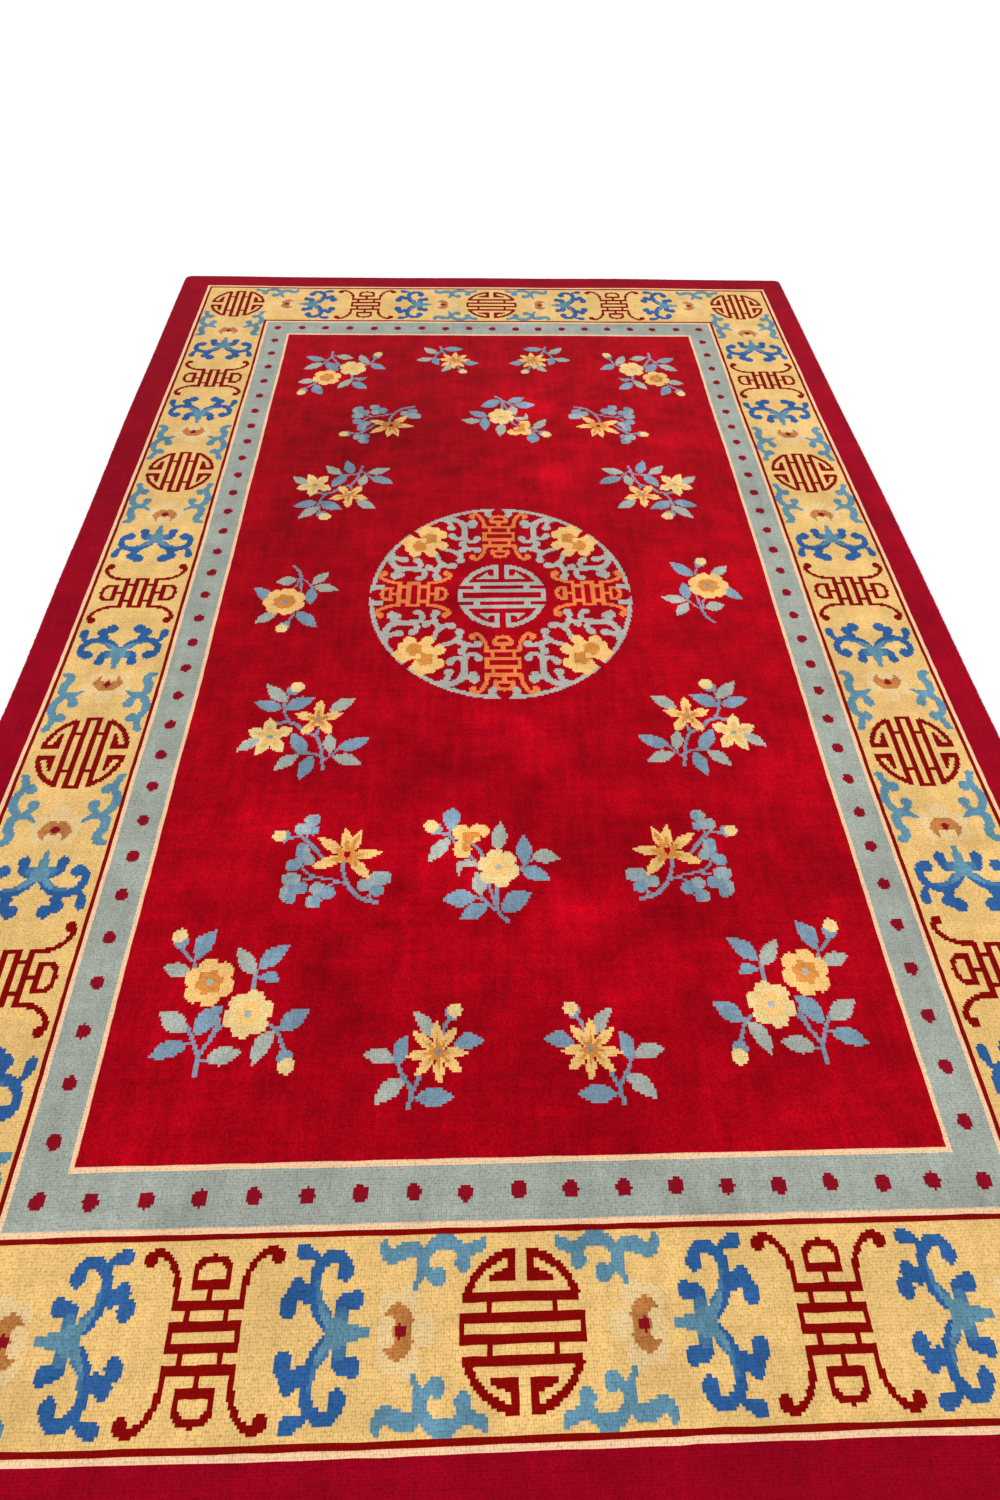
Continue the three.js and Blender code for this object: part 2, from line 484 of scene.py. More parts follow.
def round_bloom(pen, middle, radius, lobes, phase, yarns, squash=1.0):
    """A round bloom of notched petals: its petals' yarn and its heart's, and a grey eye."""
    u, v = middle
    petals, heart = yarns

    def ring(yarn, turned, reach, size):
        for petal in range(lobes):
            turn = phase + 2 * math.pi * (petal + turned) / lobes
            across, along = reach * math.cos(turn), squash * reach * math.sin(turn)
            pen.disc(yarn, u + across, v + along, size, size * squash)

    for notch in (-0.11, 0.11):
        ring(petals, notch, radius * 0.69, radius * 0.31)
    pen.disc(petals, u, v, radius * 0.66, radius * 0.66 * squash)
    ring(heart, 0.5, radius * 0.36, radius * 0.19)
    pen.disc(heart, u, v, radius * 0.42, radius * 0.42 * squash)
    pen.disc("sage", u, v, 1.6, 1.4)


def bud(pen, middle, foot, radius):
    """A closed bud in a blue sepal."""
    pen.leaf("leaf", foot, between(foot, middle, 1.25), radius * 1.9, fullest=0.5)
    pen.disc("pale", *between(foot, middle, 1.12), radius, radius * 0.95)


def daisy_spray(pen):
    """The spray at the middle of each end."""
    stems(pen, [(5, -3.5, 2.6), (6.5, 3, 2.2), (9.5, 9, 2)], [(6.5, 3), (1, 11), (0, 15)])
    stems(pen, [(22.5, 33), (20, 29), (18.5, 25)], [(7, 0.5), (10, 0)], [(2, 8), (-2, 7)])
    stems(pen, [(0, 13.5), (-3, 15.5)], width=1.6)
    leaves(
        pen, "sage", (15, 24, 5.5, 35.5, 5.4, -0.8), (-2, 15.5, -15.5, 17.5, 6.2, -0.6),
        (3, 7, -9.5, -2.5, 6.6, -1.3),
    )
    leaves(pen, "leaf", (24, 21, 37.5, 22, 6.4, 1), (0, 13, 4.5, 26, 6, 1.2), (8, 0, 24.5, 0.5, 7, 0.4))
    tips = [(16, 31.5), (25, 28.5), (29.5, 17.5), (27.5, 9.5)]
    tips += [(18, 5), (7, 8.5), (3, 16.5), (5.5, 27)]
    star(pen, (17, 18), tips, 4.4, blush=True)
    bud(pen, (24, 35), (21, 31.5), 3.2)


def rose_spray(pen):
    """The large spray in each corner of the field: a gold bloom and a cream one."""
    stems(pen, [(9, -12.5, 2.6), (9, -5, 2.4), (13, 2, 2), (16, 7, 1.8), (18, 8, 1.6)])
    stems(pen, [(9, -5), (6, 1), (2.5, 7)], [(6, 0.5), (1, 0.5)], [(13, 3), (15.5, 10)])
    stems(pen, [(-7.5, 42), (0, 35)], [(-0.5, 40), (0, 33)], [(11, -6.5), (14, -6)], width=1.6)
    stems(pen, [(28, 21), (28, 31)], [(35.5, 8.5), (41, 5), (44.5, -2.5)], [(28, 28.5), (32, 28)])
    leaves(
        pen, "sage", (-1, 31, -14.5, 34, 6.4, 0.3), (28, 29.5, 17.5, 42.5, 6.4, 0),
        (2.5, 5.5, -12, 14.5, 7.4, 0), (12.5, -6, 27.5, -3, 7, 0), (39.5, 5.5, 32, -9.5, 6.6, -1),
    )
    leaves(
        pen, "leaf", (0.5, 37, 7, 51, 8, 1.6), (29, 32.5, 42, 43, 7.6, 0.6),
        (29.5, 27.5, 40, 25.5, 4.4, 2.2), (6, 4, 16.5, 16.5, 8, 1), (3.5, 0, -12.5, -5.5, 6.8, -1),
        (41.5, 5.5, 54.5, 13.5, 7.4, 0.5),
    )
    round_bloom(pen, (8, 26.5), 11.4, 6, 1.78, ("petal", "tan"), 0.96)
    round_bloom(pen, (27.5, 12.5), 11, 6, 1.3, ("pale", "petal"), 0.94)
    bud(pen, (-9.5, 47.5), (-7, 41.5), 3.5)
    bud(pen, (46.5, -8.5), (44.5, -2), 3.6)


def lily_spray(pen):
    """The spray of pointed petals and clover leaves."""
    stems(pen, [(18, 18, 2.2), (18.5, 12, 2.4), (21.5, 5, 2.6), (27, -1, 2.6), (36, -4, 2.4)])
    stems(pen, [(20, 5.5), (14, 8), (8, 9), (1, 11.5), (-2.5, 16)], width=1.5)
    stems(pen, [(3.5, 9), (-0.5, 8.5)], [(16, 7), (11, 4.5)], [(32, 0), (32.5, -2.5)], width=1.6)
    stems(pen, [(9, 18.5), (3, 25), (-2, 30), (-5, 31.5), (-11, 31)], [(-1.5, 29.5), (-1.5, 34)])
    pen.discs(
        "mist", (0.2, 41, 4, 3.2), (-5, 35.8, 3.2, 3.6), (-1.3, 36, 2.2, 3.4), (-2.6, 23, 3.4, 4.6),
        (1.4, 18.6, 2.7, 3), (-6.5, 8.7, 4.9, 3.4), (-7.5, 1.5, 3.8, 4.2), (6.7, 3.4, 3.5, 3.6),
        (4.2, -3, 2.5, 3.4), (35.5, 8.4, 4.4, 3.6), (38.8, 8.6, 3.6, 3.4), (29.2, 5, 3.1, 3.4),
        (33.2, 4.5, 2.4, 4),
    )
    pen.discs(
        "leaf", (1.8, 35, 2.3, 2.6), (2.2, 40.5, 2, 2.2), (-3.8, 24, 2.2, 4.4), (-3.6, 18, 2.2, 4),
        (-6.6, 16, 3.7, 3.2), (-1, 4, 3.5, 3.4), (-5, 3, 2.2, 3.5), (-5.7, -1.2, 2.8, 2.8),
        (12, 1.4, 3.7, 3.3), (7.2, -2.5, 2.3, 3.8), (35.5, 2.3, 4, 2.9),
    )
    middle = (20, 20.5)
    tips = [(3.5, 31.5), (17.5, 36.5), (26.2, 36), (37.5, 22.5), (32.5, 7.5), (2, 14.7)]
    for tip in tips:
        pen.leaf("petal", middle, tip, 5.5, fullest=0.51)
    pen.disc("tan", *middle, 4)
    for tip in tips:
        pen.leaf("gold", middle, between(middle, tip, 0.62), 4.4, fullest=0.5)
        pen.leaf("tan", middle, between(middle, tip, 0.45), 3.4, fullest=0.5)
    pen.leaf("tan", (21, 24), (25.4, 33.5), 2.4)
    pen.leaf("tan", (19.5, 24), (19, 30.5), 2)
    pen.disc("field", middle[0] - 0.5, middle[1] + 0.7, 1.6, 1.9)
    bud(pen, (-14.5, 32), (-9.5, 31.5), 3.6)


def blossom_spray(pen):
    """The spray between the lilies: a round cream bloom under a gold one seen from the side."""
    stems(pen, [(20, -5, 2.4), (17, -2.5, 2.4), (15, 2.5, 2.4), (15, 14, 2)], [(10, 17), (12.5, 8), (14, 4)])
    stems(pen, [(15, 0.5), (11, 3), (8, 6), (4, 6.8)], [(8, 6), (6.5, 10)], width=2)
    stems(pen, [(3, 36), (7, 31), (9, 26)], [(1, 29), (4, 26), (6.5, 22)], width=1.8)
    stems(
        pen, [(26, 21), (28, 22.5), (29, 26)], [(29, 23.5), (34, 27.5)], [(26.5, 21.5), (30, 20)],
        width=1.6,
    )
    stems(pen, [(-14, 41.5), (-9, 40.5), (-5.5, 36)], [(-8.8, 40), (-8.3, 44)], [(15.5, 33), (16, 29)])
    leaves(
        pen, "sage", (-8.5, 38.5, -19, 25.5, 7, -0.5), (15.5, 31.5, 17.5, 48, 7.2, -0.3),
        (32.5, 28, 47.5, 26.5, 7, 0.8), (7, 8, 4.5, 20.5, 6.6, -0.5),
    )
    leaves(
        pen, "leaf", (29, 24, 29, 40.5, 7.2, 0), (27, 21, 41.5, 15.5, 7, 0.6), (4.5, 7, -12, 6, 8, 0),
        (10.5, 2.5, -3, -4.5, 7.2, -0.8), (17, 0, 32.5, 9, 9, 0.8),
    )
    pen.leaf("leaf", (-8.5, 42), (-6.5, 56.5), 9.4, fullest=0.6)
    pen.stroke("sage", [(6, 24.2, 2), (1, 25, 3.2), (-3.5, 23.5, 3.6), (-3.5, 18.5, 1)])
    pen.discs("petal", (-2.5, 41.7, 4.4, 4.4), (5.5, 43, 3.8, 3.6), (9, 42.5, 3, 3.2))
    pen.disc("petal", -2, 32.5, 4.6, 4.8)
    pen.disc("petal", 3.5, 39, 4, 2.6)
    pen.discs("tan", (0, 39.5, 2.2, 3), (4, 40.5, 3.2, 2), (0, 34, 2.2, 3.4), (2, 38, 2.4, 1.8))
    round_bloom(pen, (16, 22.2), 10.4, 6, 0.75, ("pale", "petal"))
    bud(pen, (-17.3, 45.2), (-12.8, 41.5), 3.8)


def jasmine_spray(pen):
    """The spray of two stars beside the medallion's near and far sides."""
    stems(pen, [(28.5, -7.5, 2.2), (27, 1, 2.4), (25, 9, 2.4), (22, 14, 2.2), (17.5, 16, 1.8)])
    stems(pen, [(23, 19), (22, 14)], [(3, 43), (1.5, 37), (2.5, 31), (6, 24)], width=1.8)
    stems(pen, [(-2.5, 22), (2.5, 23.5), (7.5, 23.2), (11.5, 21), (14.5, 17.5)], width=2.4)
    stems(pen, [(27, 0.5), (22.5, 2.5), (18.5, 3), (12.5, 2)], [(30.5, 13), (31.3, 4), (31.3, 1)], width=1.5)
    stems(pen, [(28, -2), (31, 0.5), (33.5, 3), (37, 7)], [(31.5, 2), (35, 0)], width=1.6)
    leaves(
        pen, "sage", (-7.5, 12, -20, 4, 6.4, -1), (3, 38, -11, 51, 7, 0.6), (28, 31, 42, 40.5, 7.4, 0.5),
        (31.5, 3, 29, 16.5, 6.4, 0), (33.5, 0.5, 49, -4.5, 7, 0.4), (14.5, 2, 2, -8.5, 6.6, -0.8),
    )
    leaves(
        pen, "leaf", (0.5, 33, -16, 38, 7, 0), (2.5, 32.5, 18.5, 40.5, 8, 0.8), (18, 2.5, 8, 17, 7.4, 0),
        (35, 6, 52.5, 12.5, 7.2, -0.5), (21.5, 1.5, 16.5, -14.5, 7.4, 0),
    )
    star(pen, (-3, 14), [(-5, 27), (9, 19.5), (6, 3.5), (-9, 2), (-16, 18.5)], 7, blush=False)
    star(pen, (21.7, 25.5), [(22, 39.5), (35.5, 29.5), (31, 15.5), (14, 15), (8.5, 29.5)], 6, blush=True)
    bud(pen, (6.7, 48), (2.5, 43), 4)


def aster_spray(pen):
    """The spray at the medallion's left and right."""
    stems(pen, [(2, 22.5, 1.6), (6.5, 17, 2.4), (8, 11, 2.6), (9, 4, 2), (9.5, -1, 1.8)])
    stems(
        pen, [(7, 11), (6.2, 5), (3.5, 1)], [(8.5, 11.5), (14, 6), (16.5, 2)], [(6, 11), (4, 9)],
        width=1.6,
    )
    stems(pen, [(16, 3.5), (20, 3)], [(7.5, -20), (5.5, -25), (4.5, -28)], [(15.5, 5), (17, 7)], width=1.6)
    leaves(
        pen, "sage", (5.5, 9.5, -8, 8, 7.4, 0), (16, 6.5, 25.5, 17, 6.6, 0), (17, 3.5, 33, 0.5, 6.8, 0.3),
        (-3, -19, -15.5, -28, 6.8, -0.8),
    )
    leaves(
        pen, "leaf", (-10, -9, -20.5, 3.5, 7, -1.4), (16, 2, 16.5, -12.5, 7, 0), (9, -18, 23, -31.5, 8, 0),
    )
    round_bloom(pen, (0.2, -9.3), 13.4, 7, 0.5, ("petal", "tan"), 0.86)
    pen.disc("tan", 0.8, -9.4, 6.4, 5.8)
    pen.disc("stem", 0.5, -9.5, 1.5)
    bud(pen, (2, -31.3), (5.2, -26.5), 3.6)


# Where each spray's shapes are measured from, in knots, and how far its far fellow is shifted: the first
# four stand in every quarter, the last two on the axes
QUARTER_SPRAYS = (
    (daisy_spray, (-50, -292), 0),
    (rose_spray, (-144, -269), 4.5),
    (lily_spray, (-100, -202), 0),
    (jasmine_spray, (-126.5, -123), 0),
)
AXIS_SPRAYS = (
    (blossom_spray, (-21, -211), 4),
    (aster_spray, (-136, 3), 0),
)


def field_sprays(chart):
    """Each spray in its place, and mirrored or turned over for the others."""

    def draw(sprays, flip):
        for spray, (across, along), shift in sprays:
            far_shift = shift if flip[1] < 0 else 0
            spray(Pen(chart, (flip[0] * across, flip[1] * along + far_shift), flip))

    for flip in QUARTERS:
        draw(QUARTER_SPRAYS, flip)
    for turn in (1, -1):
        draw(AXIS_SPRAYS, (turn, turn))


def draw_chart(rng):
    """The yarn of every knot, row by row from the near end."""
    chart = np.zeros((ROWS, COLUMNS), int)
    for yarn, across, along in BANDS:
        Pen(chart).bar(yarn, -across, across, -along, along)
    guard_dots(chart, rng)
    border_run(chart, -BAND_MIDDLE[0], LEFT_STATIONS, turned=False)
    border_run(chart, BAND_MIDDLE[0], RIGHT_STATIONS, turned=False)
    border_run(chart, -BAND_MIDDLE[1], END_STATIONS, turned=True)
    border_run(chart, BAND_MIDDLE[1], END_STATIONS, turned=True)
    medallion(chart)
    field_sprays(chart)
    return chart


# Outline of the rug, in millimetres from the medallion's axis, as its solid has it
MM = 0.001
KNOT_MM = KNOT / MM
AXIS_ACROSS = 13.0
LEFT_EDGE = ((-1365, -919), (-480, -918), (-270, -915), (140, -922), (740, -933), (1365, -939))
RIGHT_EDGE = ((-1365, 913), (-290, 909), (300, 912), (740, 908), (1365, 907))
NEAR_END = ((-940, -2), (-260, 2), (380, -1), (920, 2))
FAR_END = ((-940, 2), (-330, -1), (290, 2), (920, -2))
CORNER_PULL = 4.0
CORNER_REACH = 14.0
EDGE_CELLS = 10
SWELL_HEIGHT = 0.7
SWELL_WAVES = (640, 860, 410)
SWELL_SLOPE = 0.7
SWELL_SHARES = (0.6, 0.4)

# Where the outline's wandering fades in, and where the drift of the pattern's lines fades out
SIDE_FADE = (200, 570)
LEFT_FADE = 840
LEFT_SHARES = (0.3, 0.7)
END_FADE = 1100
DRIFT_FADE = 60
LINE_DRIFT = 1.3
DRIFT_WAVES = (83, 190, 700)

# Section through the pile's edge, from the surface down, and through the foundation's, from below up
PILE_RIM = ((8.5, 12.0), (4.6, 11.4), (1.9, 9.7), (0.6, 7.4), (0.4, 5.0), (0.9, 3.0))
BACK_RIM = ((2.0, 0.0), (0.5, 0.8), (0.3, 1.9), (1.6, 3.0))

# How far a knot may sit off its place, and how far tufts stand in or out at the edge
KNOT_STRAY = 0.5
RIM_STRAY = 0.55

# Cells of the chart, in knots, and the tallest patch of one yarn in a patterned cell
CELL = 10
TALLEST = 5

# Broad places of painted light and shade where the pile leans: across and along in knots, reach across and
# along, and amount, above 0 painted lighter, below 0 painted darker
LEAN_LIGHT_PLACES = (
    (35, 210, 24, 26, 0.51), (38, 122, 20, 14, 0.44), (95, 215, 22, 16, -0.17), (130, 175, 26, 26, 0.2),
    (115, 10, 30, 34, 0.27), (158, 20, 16, 60, 0.24), (140, -40, 26, 12, -0.17), (150, -130, 34, 22, 0.27),
    (110, -70, 22, 30, 0.17), (24, -108, 14, 14, 0.34), (-12, -98, 40, 10, 0.14), (-40, -178, 26, 22, 0.44),
    (-45, -215, 26, 12, 0.34), (40, -212, 30, 12, 0.27), (-110, -165, 34, 8, 0.27),
    (-145, -160, 22, 8, 0.2), (-130, 60, 46, 90, -0.24), (-60, 170, 60, 40, -0.2), (20, -60, 60, 16, -0.09),
    (-70, -130, 50, 22, -0.1), (60, -180, 30, 12, -0.2), (100, -240, 60, 22, 0.1),
    (-100, 300, 60, 40, -0.1), (30, -290, 90, 22, -0.14), (278, 40, 42, 420, 0.32),
    (-275, 200, 42, 110, -0.27), (110, 200, 70, 120, 0.12), (-110, 150, 70, 110, -0.1),
)

# A piece's map: free room round each of its parts, in knots, and the low strip of its hidden face
MAP_MARGIN = 6
MAP_PARTS = 3
HIDDEN_LOW = (0.01, 0.002)
HIDDEN_SIZE = (0.98, 0.01)


def smoothstep(low, high, value):
    t = np.clip((value - low) / (high - low), 0, 1)
    return t * t * (3 - 2 * t)


def eased(table, at):
    """A value from a short table, eased from one row to the next."""
    keys, values = np.array(table, float).T
    i = np.clip(np.searchsorted(keys, at, side="right") - 1, 0, len(keys) - 2)
    return values[i] + smoothstep(keys[i], keys[i + 1], at) * (values[i + 1] - values[i])


def swell(x, y):
    """The surface's small rise or dip at a place in millimetres, as the solid has it."""
    across, along, slant = SWELL_WAVES
    broad = np.sin(2 * math.pi * x / across) * np.sin(2 * math.pi * (y + across / 3) / along)
    cross = np.sin(2 * math.pi * (x + SWELL_SLOPE * y) / slant)
    return SWELL_HEIGHT * (SWELL_SHARES[0] * broad + SWELL_SHARES[1] * cross)


def near_rim(number, count):
    """How near a row or column lies to the rim: 1 on it, 0 from a few knots inside it."""
    return np.clip((np.abs(number - count / 2) - (count / 2 - EDGE_CELLS)) / EDGE_CELLS, 0, 1)


def plan(column, row, inset):
    """Place in millimetres of lattice points; the outermost ones lie inset inside the outline."""
    edge_x, edge_y = COLUMNS / 2 * KNOT_MM, ROWS / 2 * KNOT_MM
    x = (column - COLUMNS / 2) * KNOT_MM
    y = (row - ROWS / 2) * KNOT_MM
    left = eased(LEFT_EDGE, y) + edge_x
    right = eased(RIGHT_EDGE, y) - edge_x
    left_fade = LEFT_SHARES[0] * smoothstep(*SIDE_FADE, -x)
    left_fade = left_fade + LEFT_SHARES[1] * smoothstep(LEFT_FADE, edge_x, -x)
    along, longer, across = DRIFT_WAVES
    drift = LINE_DRIFT * np.sin(y / along + 1) * np.sin(y / longer) * np.cos(x / across)
    moved_x = x + right * smoothstep(*SIDE_FADE, x) + left * left_fade
    moved_x = moved_x + drift * (1 - smoothstep(edge_x - DRIFT_FADE, edge_x, np.abs(x)))
    far = eased(FAR_END, x) * smoothstep(END_FADE, edge_y, y)
    near = eased(NEAR_END, x) * smoothstep(END_FADE, edge_y, -y)
    moved_y = y + (far - near)
    from_corner = np.hypot(edge_x - np.abs(x), edge_y - np.abs(y))
    pull = CORNER_PULL * np.clip(1 - from_corner / CORNER_REACH, 0, 1)
    moved_x = moved_x - np.sign(x) * (near_rim(column, COLUMNS) * inset + pull)
    moved_y = moved_y - np.sign(y) * (near_rim(row, ROWS) * inset + pull)
    return moved_x, moved_y


def patches(chart, first, last):
    """Rectangles of one yarn inside cells: left, right, near, far and yarn."""
    found = []
    for near in range(0, ROWS, CELL):
        for left in range(first, last, CELL):
            cell = chart[near:near + CELL, left:min(left + CELL, last)]
            rows, columns = cell.shape
            tallest = CELL if (cell == cell[0, 0]).all() else TALLEST
            taken = np.zeros(cell.shape, bool)
            for j, i in np.ndindex(cell.shape):
                if taken[j, i]:
                    continue
                wide, tall = i + 1, j + 1
                while wide < columns and cell[j, wide] == cell[j, i] and not taken[j, wide]:
                    wide += 1
                while tall < min(rows, j + tallest) and (cell[tall, i:wide] == cell[j, i]).all():
                    tall += 1
                taken[j:tall, i:wide] = True
                found.append((left + i, left + wide, near + j, near + tall, cell[j, i]))
    return found


def corners_used(strips):
    """Which lattice points are a corner of some patch or lie on the rim."""
    used = np.zeros((ROWS + 1, COLUMNS + 1), bool)
    used[[0, -1], :] = True
    used[:, [0, -1]] = True
    for found in strips:
        for left, right, near, far, _ in found:
            used[near, left] = used[near, right] = used[far, left] = used[far, right] = True
    return used


def outline_of(used, left, right, near, far):
    """The used lattice points round a rectangle, counter-clockwise from above."""
    ring = [(near, i) for i in range(left, right)]
    ring += [(j, right) for j in range(near, far)]
    ring += [(far, i) for i in range(right, left, -1)]
    ring += [(j, left) for j in range(far, near, -1)]
    return [spot for spot in ring if used[spot]]


def rise(height, x, y):
    """A height with the surface's swell worked in, from the foundation up."""
    part = np.clip((height - FOUNDATION_TOP / MM) / (PILE_TOP - FOUNDATION_TOP) * MM, 0, 1)
    return height + part * swell(x, y)


def surface_points(inset, height, stray):
    """Every lattice point at one height, in millimetres, each a little off its place."""
    column, row = np.meshgrid(np.arange(COLUMNS + 1), np.arange(ROWS + 1))
    x, y = plan(column, row, inset)
    inside = (column % COLUMNS > 0) & (row % ROWS > 0)
    return np.stack([x + inside * stray[0], y + inside * stray[1], rise(height, x, y)], -1)


def rim_point(j, i, inset, height, tuft):
    """A point of the rim at one row of a section, where tufts stand in or out."""
    x, y = plan(np.array(float(i)), np.array(float(j)), inset + min(inset, 1.0) * tuft[j, i])
    return [float(x), float(y), float(rise(height, x, y))]


def linear(colour):
    """Linear values of a colour given as seen."""
    return [c / 12.92 if c <= 0.04045 else ((c + 0.055) / 1.055) ** 2.4 for c in colour]


def lean_light_at(spots):
    """Painted light and shade where the pile leans, at places in knots: above 0 painted brighter, below 0
    painted darker.
    """
    u, v = spots[:, 0] - COLUMNS / 2, spots[:, 1] - ROWS / 2
    total = np.zeros(len(spots))
    for across, along, reach_u, reach_v, amount in LEAN_LIGHT_PLACES:
        total += amount * np.exp(-(((u - across) / reach_u) ** 2) - ((v - along) / reach_v) ** 2)
    return total


class Piece:
    """Points in millimetres, each with its place in knots, and faces, each with its yarn."""

    def __init__(self, surface):
        self.surface = surface
        self.number = {}
        self.points = []
        self.faces = []

    def add_point(self, place, spot):
        self.points.append((place, spot))
        return len(self.points) - 1

    def vertex(self, j, i):
        """The surface's lattice point, made once."""
        if (j, i) not in self.number:
            self.number[j, i] = self.add_point(self.surface[j, i].tolist(), (i, j))
        return self.number[j, i]

    def add_face(self, corners, yarn, smooth=False):
        self.faces.append((corners, yarn, smooth))

    def walls(self, ring, section, first, last, tuft, yarn_at):
        """Faces from the top ring down a section; seams go straight down, rims are rolled."""
        above = [self.vertex(j, i) for j, i in ring]
        unrolled = 0.0
        for (inset, height), (past_inset, past_height) in zip(section[1:], section):
            unrolled += math.hypot(inset - past_inset, height - past_height) / KNOT_MM
            below = []
            for j, i in ring:
                out_u = int(i == last) - int(i == first)
                out_v = int(j == ROWS) - int(j == 0)
                if j in (0, ROWS) or i in (0, COLUMNS):
                    place = rim_point(j, i, inset, height, tuft)
                else:
                    x, y, _ = self.surface[j, i]
                    place = [x, y, float(rise(height, x, y))]
                below.append(self.add_point(place, (i + out_u * unrolled, j + out_v * unrolled)))
            for k, (j, i) in enumerate(ring):
                after = (k + 1) % len(ring)
                self.add_face([above[k], below[k], below[after], above[after]], yarn_at(j, i), True)
            above = below
        return above

    def build(self, name, material, unfold, turned_over):
        """Makes the object, in metres in the shared frame."""
        places, spots = (np.array(values, float) for values in zip(*self.points))
        faces, yarns, smooth = zip(*self.faces)
        if turned_over:
            faces = [face[::-1] for face in faces]
        mesh = bpy.data.meshes.new(name)
        mesh.from_pydata((places * MM + (AXIS_ACROSS * MM, 0, 0)).tolist(), [], faces)
        mesh.polygons.foreach_set("use_smooth", smooth)
        counts = np.array([len(face) for face in faces])
        corners = np.concatenate(faces)
        table = np.array([[*linear(yarn[:3]), yarn[3]] for yarn in YARNS.values()])
        yarn = mesh.color_attributes.new("yarn", "FLOAT_COLOR", "CORNER")
        yarn.data.foreach_set("color", np.repeat(table[np.array(yarns)], counts, axis=0).ravel())
        knots = mesh.attributes.new("knots", "FLOAT_VECTOR", "POINT")
        knots.data.foreach_set("vector", np.pad(spots, ((0, 0), (0, 1))).ravel())
        # Painted light and shade of the leaning pile, carried at each point
        lean_light = mesh.attributes.new("lean_light", "FLOAT", "POINT")
        lean_light.data.foreach_set("value", lean_light_at(spots))
        middles = np.add.reduceat(spots[corners], np.cumsum(counts) - counts) / counts[:, None]
        baked = mesh.uv_layers.new(name="OFBake")
        flat = unfold(spots[corners], np.repeat(middles, counts, axis=0), np.repeat(counts, counts))
        baked.data.foreach_set("uv", flat.ravel())
        mesh.materials.append(material)
        mesh.update()
        piece = placed(name, mesh)
        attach(piece, "root")
        return piece


def placed(name, data):
    """A new object of the scene."""
    thing = bpy.data.objects.new(name, data)
    bpy.context.scene.collection.objects.link(thing)
    return thing


def closed_sheet(name, material, found, surface, section, layout, parts=1, turned_over=False):
    """A closed strip: its patterned surface, rolled or straight sides, and a plain hidden face."""
    chart, used, tuft = layout
    first = min(patch[0] for patch in found)
    last = max(patch[1] for patch in found)
    piece = Piece(surface)
    for *sides, yarn in found:
        piece.add_face([piece.vertex(j, i) for j, i in outline_of(used, *sides)], yarn)

    def yarn_at(j, i):
        return chart[min(j, ROWS - 1), min(i, COLUMNS - 1)]

    end = piece.walls(outline_of(used, first, last, 0, ROWS), section, first, last, tuft, yarn_at)
    piece.add_face(end[::-1], YARN_NAMES.index("edge"))
    width = last - first + 2 * MAP_MARGIN
    part_rows = ROWS // parts
    size = max(width * parts, part_rows + 4 * MAP_MARGIN)

    def unfold(spots, middles, counts):
        """The map: the strip in parts side by side, the hidden face low under them."""
        part = np.clip(middles[:, 1] // part_rows, 0, parts - 1)
        across = spots[:, 0] - first + MAP_MARGIN
        u = (across + part * width) / size
        v = (spots[:, 1] - part * part_rows + 2 * MAP_MARGIN) / size
        hidden = np.arange(len(counts)) >= len(counts) - len(end)
        along = (spots[hidden, 1] + MAP_MARGIN) / (ROWS + 2 * MAP_MARGIN)
        u[hidden] = HIDDEN_LOW[0] + HIDDEN_SIZE[0] * along
        v[hidden] = HIDDEN_LOW[1] + HIDDEN_SIZE[1] * across[hidden] / width
        return np.stack([u, v], -1)

    return piece.build(name, material, unfold, turned_over)


# Painted light and shade of the leaning pile, in broad, cloudy and mottled patches: stretch, scale, detail,
# roughness, and how strongly it shows
LEAN_LIGHT_NOISE = {
    "broad": ((1, 1, 1), 2.6, 3.0, 0.55, 0.6),
    "cloud": ((1, 1.2, 1), 9.0, 5.0, 0.62, 0.85),
    "mottle": ((16, 18, 1), 1.0, 3.0, 0.6, 0.95),
}
FINE_NOISE = {
    "brushed": ((70, 9, 1), 1.0, 2.0, 0.5, 0.55),
    "rows": ((6, 110, 1), 1.0, 2.0, 0.5, 0.38),
}

# Undyed cotton, linear values, and the heights where the rim turns to red wool
BACK_COLOUR = (0.58, 0.47, 0.32)
OVERCAST_FROM = (0.0003, 0.0007)


